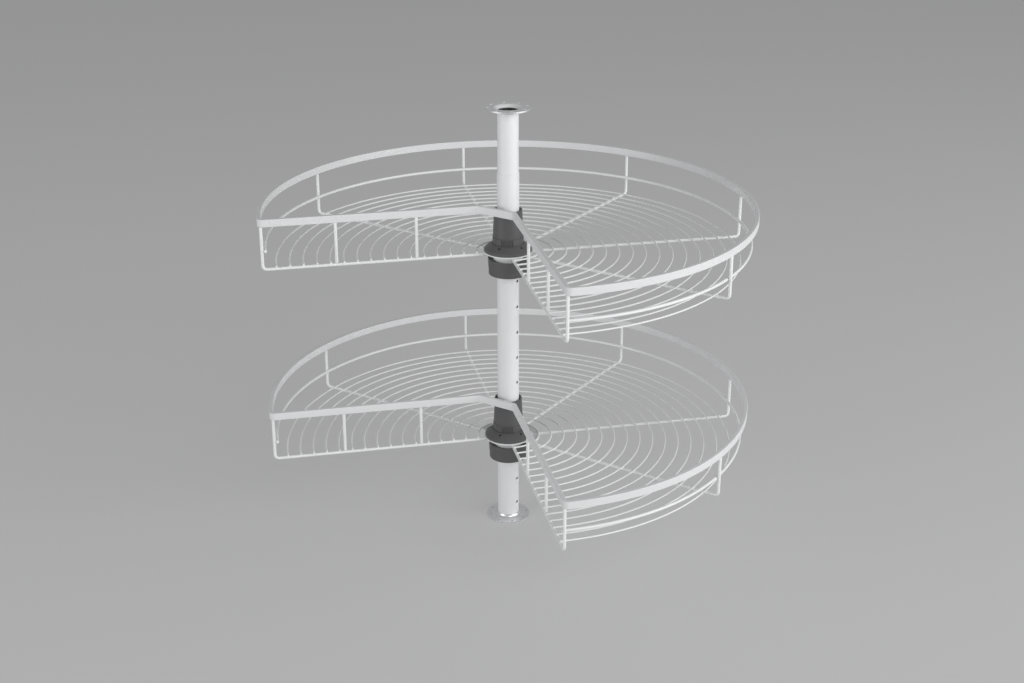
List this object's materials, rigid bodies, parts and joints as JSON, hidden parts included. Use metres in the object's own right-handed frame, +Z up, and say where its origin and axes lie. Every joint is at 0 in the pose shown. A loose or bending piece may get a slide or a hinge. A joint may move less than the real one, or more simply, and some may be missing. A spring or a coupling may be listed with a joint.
{
  "type": "corner carousel fitting",
  "caption": "Kitchen corner carousel: three-quarter-round white wire baskets that turn on a telescopic steel column between floor and ceiling flanges.",
  "frame": {"origin": "on the column's axis, at the underside of the floor flange", "axes": "+Z up the column; each basket's left straight side runs along -X and its front straight side along -Y, with the open quarter between them"},
  "size_m": [0.71, 0.71, 0.64],
  "materials": {
    "column_steel": "satin plated tube",
    "flange_steel": "zinc-plated pressed steel",
    "rim_white": "smooth white powder coat",
    "wire_white": "white powder-coated wire and sheet",
    "grey_plastic": "matte dark grey moulding",
    "ring_white": "smooth white slide plastic",
    "screw_steel": "blackened steel"
  },
  "bodies": {
    "column": {"lower_tube": "column_steel", "floor_flange": "flange_steel", "column_lock_screw": "screw_steel", "upper_support_cup": "grey_plastic", "upper_support_collar": "grey_plastic", "upper_set_screw": "screw_steel", "lower_support_cup": "grey_plastic", "lower_support_collar": "grey_plastic", "lower_set_screw": "screw_steel"},
    "top_section": {"upper_tube": "column_steel", "ceiling_flange": "flange_steel"},
    "upper_basket": {"upper_rim": "rim_white", "upper_mid_rail": "wire_white", "upper_left_edge_rod": "wire_white", "upper_front_edge_rod": "wire_white", "upper_spoke_back_left": "wire_white", "upper_spoke_back": "wire_white", "upper_spoke_back_right": "wire_white", "upper_spoke_right": "wire_white", "upper_spoke_front_right": "wire_white", "upper_side_posts": "wire_white", "upper_floor_wires": "wire_white", "upper_hub_plate": "wire_white", "upper_hub": "grey_plastic", "upper_hub_sleeve": "grey_plastic", "upper_hub_screws": "screw_steel", "upper_bearing_ring": "ring_white"},
    "lower_basket": {"lower_rim": "rim_white", "lower_mid_rail": "wire_white", "lower_left_edge_rod": "wire_white", "lower_front_edge_rod": "wire_white", "lower_spoke_back_left": "wire_white", "lower_spoke_back": "wire_white", "lower_spoke_back_right": "wire_white", "lower_spoke_right": "wire_white", "lower_spoke_front_right": "wire_white", "lower_side_posts": "wire_white", "lower_floor_wires": "wire_white", "lower_hub_plate": "wire_white", "lower_stiffener_plate": "wire_white", "lower_hub": "grey_plastic", "lower_hub_sleeve": "grey_plastic", "lower_hub_screws": "screw_steel", "lower_bearing_ring": "ring_white"}
  },
  "joints": [
    {"name": "column_height_slide", "type": "slide", "parent": "column", "child": "top_section", "axis": [0, 0, 1], "range_m": [-0.085, 0.06]},
    {"name": "upper_basket_turn", "type": "hinge", "parent": "column", "child": "upper_basket", "pos_m": [0, 0, 0.4288], "axis": [0, 0, 1], "continuous": true},
    {"name": "lower_basket_turn", "type": "hinge", "parent": "column", "child": "lower_basket", "pos_m": [0, 0, 0.1343], "axis": [0, 0, 1], "continuous": true}
  ]
}
